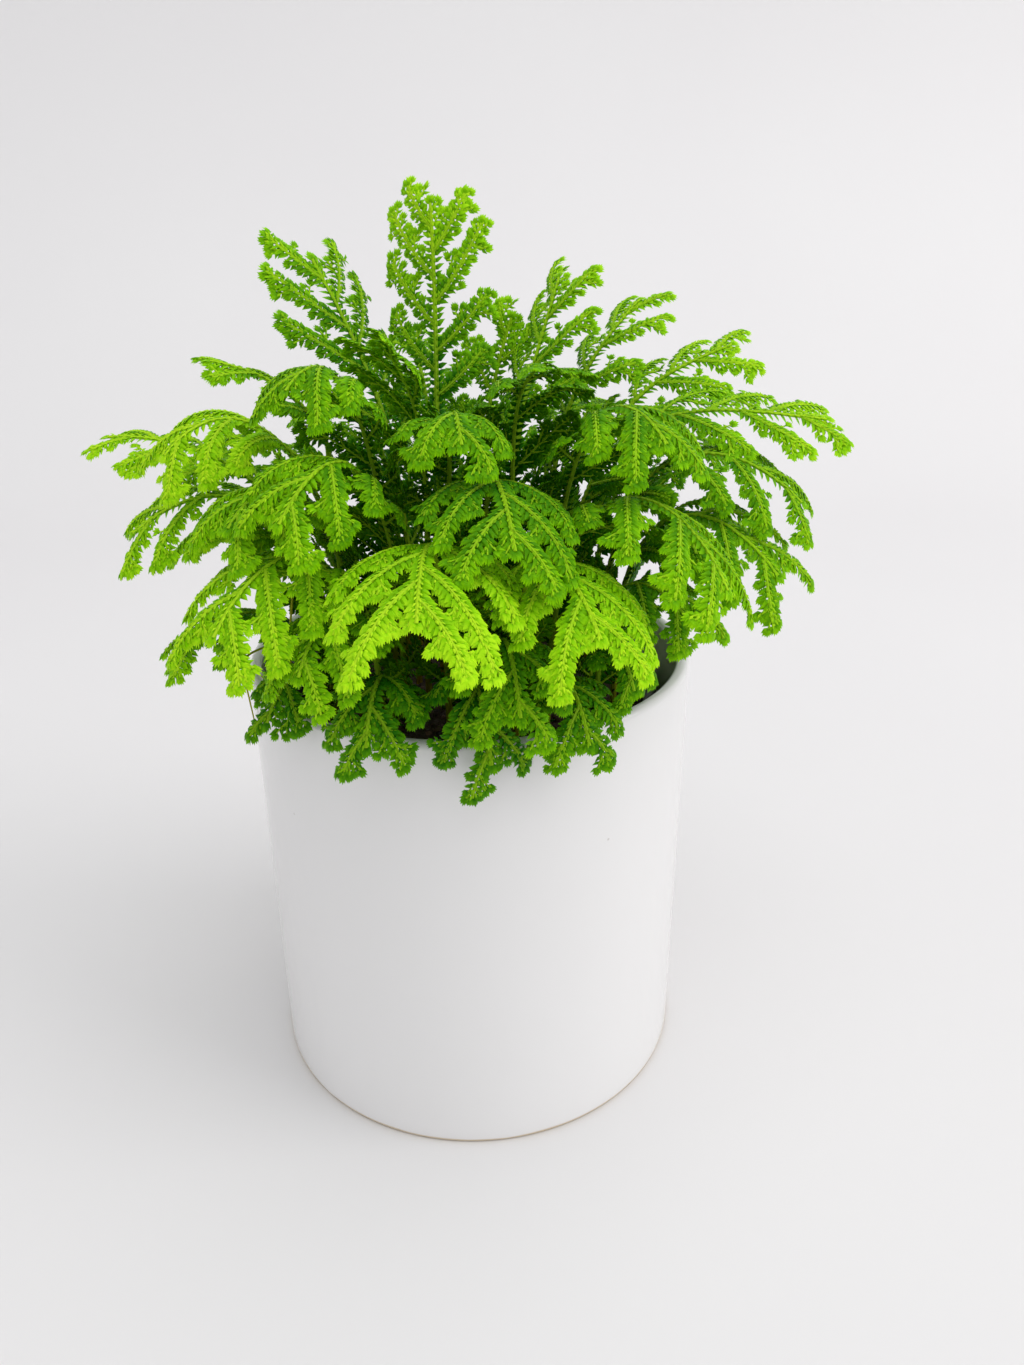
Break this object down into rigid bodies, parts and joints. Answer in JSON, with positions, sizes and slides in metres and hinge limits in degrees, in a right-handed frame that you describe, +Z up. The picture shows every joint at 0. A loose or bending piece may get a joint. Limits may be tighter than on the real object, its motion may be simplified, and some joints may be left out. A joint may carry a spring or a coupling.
{
  "type": "potted spikemoss",
  "caption": "Spikemoss with flat feathered fronds on arching stems, in a nursery pot inside a white glazed cylinder pot.",
  "frame": {"origin": "middle of the flat foot of the pot", "axes": "+Z up along the pot's axis; -Y is the front, the side seen in the picture; +X is the viewer's right"},
  "size_m": [0.1897, 0.1777, 0.2385],
  "materials": {
    "glaze": "gloss",
    "nursery_plastic": "matte",
    "soil": "matte",
    "leaf": "satin"
  },
  "bodies": {
    "root": {"pot": "glaze", "nursery_pot": "nursery_plastic", "soil": "soil", "frond_crown": "leaf", "frond_crown_side": "leaf", "frond_fan_left": "leaf", "frond_starburst": "leaf", "frond_small_left": "leaf", "frond_bright_left": "leaf", "frond_far_left": "leaf", "frond_left": "leaf", "frond_broad_left": "leaf", "frond_rim_left": "leaf", "frond_rim_front_left": "leaf", "frond_rim_front_1": "leaf", "frond_rim_front_2": "leaf", "frond_rim_front_3": "leaf", "frond_rim_front_right": "leaf", "frond_bright_front": "leaf", "frond_bright_front_right": "leaf", "frond_blue_front": "leaf", "frond_broad_right": "leaf", "frond_tip_right": "leaf", "frond_far_right": "leaf", "frond_high_right": "leaf", "frond_back_right_1": "leaf", "frond_back_right_2": "leaf", "frond_forked": "leaf", "frond_middle": "leaf", "frond_middle_back": "leaf", "frond_mid_left": "leaf", "frond_mid_right": "leaf", "frond_right": "leaf", "frond_inner_left": "leaf", "frond_inner_front": "leaf", "frond_back_1": "leaf", "frond_back_2": "leaf", "frond_back_3": "leaf", "frond_back_4": "leaf", "frond_back_5": "leaf", "frond_back_low_1": "leaf", "frond_back_low_2": "leaf", "frond_back_low_3": "leaf", "frond_back_low_4": "leaf", "frond_back_high": "leaf", "frond_inner_right": "leaf", "frond_inner_back_left": "leaf"}
  },
  "joints": []
}
